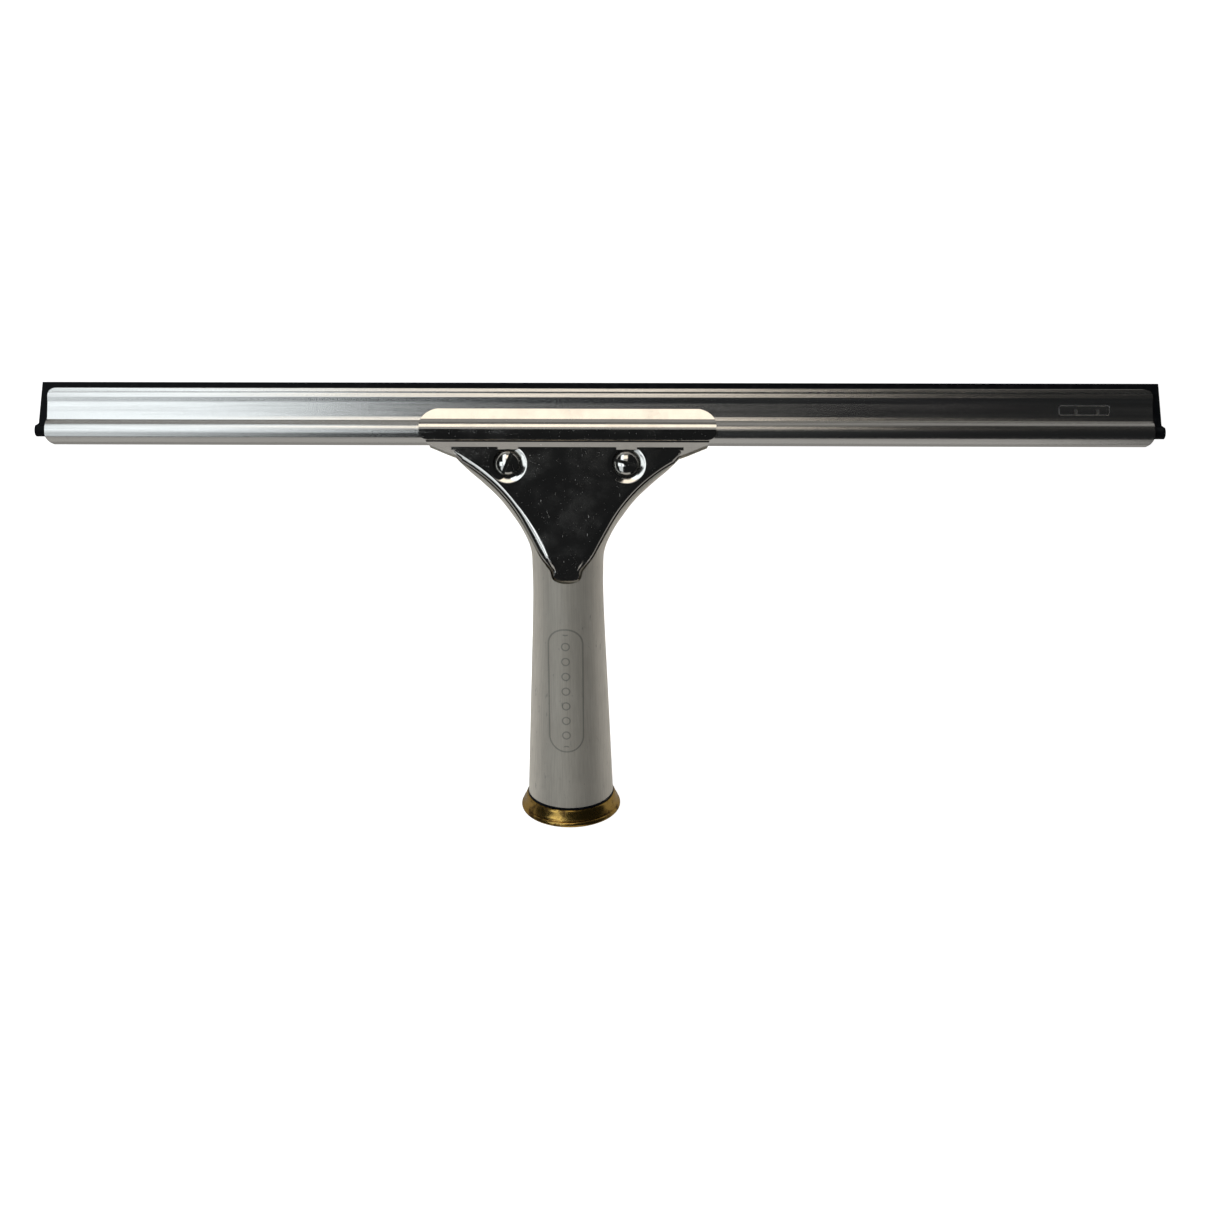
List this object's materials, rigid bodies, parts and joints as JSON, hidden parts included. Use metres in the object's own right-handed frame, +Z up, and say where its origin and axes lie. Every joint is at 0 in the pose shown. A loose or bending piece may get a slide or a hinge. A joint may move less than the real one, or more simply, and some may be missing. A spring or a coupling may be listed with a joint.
{
  "type": "window cleaning squeegee",
  "caption": "Window cleaning squeegee: rubber blade in a metal channel, clamped by a screwed plate to a tapered sheet metal handle with a brass socket bushing.",
  "frame": {"origin": "centre of the bounding box's base, lying on its back on a flat surface", "axes": "+X along the blade, +Y from the handle's end to the blade, +Z up out of the front face"},
  "size_m": [0.3636, 0.1446, 0.0338],
  "materials": {
    "satin_steel": "satin stainless sheet with fine streaks",
    "polished_steel": "mirror polished stainless sheet",
    "brushed_steel": "stainless profile brushed along its length",
    "spring_steel": "bare spring steel, not seen",
    "brass": "turned brass, bright with darker patches",
    "black_rubber": "matt black rubber"
  },
  "bodies": {
    "handle": {"handle_body": "satin_steel", "pole_bushing": "brass", "bushing_seal": "black_rubber", "captive_nut_left": "spring_steel", "captive_nut_right": "spring_steel"},
    "clamp_plate": {"clamp_plate": "polished_steel"},
    "channel": {"blade_channel": "brushed_steel"},
    "rubber": {"rubber_blade": "black_rubber"},
    "washer_left": {"screw_washer_left": "polished_steel"},
    "washer_right": {"screw_washer_right": "polished_steel"},
    "screw_left": {"clamp_screw_left": "polished_steel"},
    "screw_right": {"clamp_screw_right": "polished_steel"},
    "clip_left": {"rubber_clip_left": "spring_steel"},
    "clip_right": {"rubber_clip_right": "spring_steel"}
  },
  "joints": [
    {"name": "clamp_plate_open", "type": "hinge", "parent": "handle", "child": "clamp_plate", "pos_m": [-0.009, 0.00624, 0.02774], "axis": [1, 0, 0], "range_deg": [0, 0.8594]},
    {"name": "washer_left_lift", "type": "slide", "parent": "handle", "child": "washer_left", "axis": [0, 0.4027, 0.9153], "range_m": [0, 0.00072]},
    {"name": "screw_left_turn", "type": "hinge", "parent": "washer_left", "child": "screw_left", "pos_m": [-0.028, 0.04754, 0.01187], "axis": [0, 0.4027, 0.9153], "range_deg": [0, 362]},
    {"name": "washer_right_lift", "type": "slide", "parent": "handle", "child": "washer_right", "axis": [0, 0.4027, 0.9153], "range_m": [0, 0.00072]},
    {"name": "screw_right_turn", "type": "hinge", "parent": "washer_right", "child": "screw_right", "pos_m": [0.01, 0.04754, 0.01187], "axis": [0, 0.4027, 0.9153], "range_deg": [0, 362]},
    {"name": "channel_slide", "type": "slide", "parent": "handle", "child": "channel", "axis": [1, 0, 0], "range_m": [-0.139, 0.121]},
    {"name": "rubber_slide", "type": "slide", "parent": "channel", "child": "rubber", "axis": [1, 0, 0], "range_m": [-0.02, 0.36]},
    {"name": "clip_left_pull", "type": "slide", "parent": "channel", "child": "clip_left", "axis": [-1, 0, 0], "range_m": [0, 0.02]},
    {"name": "clip_right_pull", "type": "slide", "parent": "channel", "child": "clip_right", "axis": [1, 0, 0], "range_m": [0, 0.02]}
  ],
  "couplings": [
    {"joint": "washer_left_lift", "follows": "clamp_plate_open", "m_per_rad": 0.046667},
    {"joint": "washer_right_lift", "follows": "clamp_plate_open", "m_per_rad": 0.046667},
    {"joint": "screw_left_turn", "follows": "clamp_plate_open", "ratio": 418.88},
    {"joint": "screw_right_turn", "follows": "clamp_plate_open", "ratio": 418.88}
  ]
}
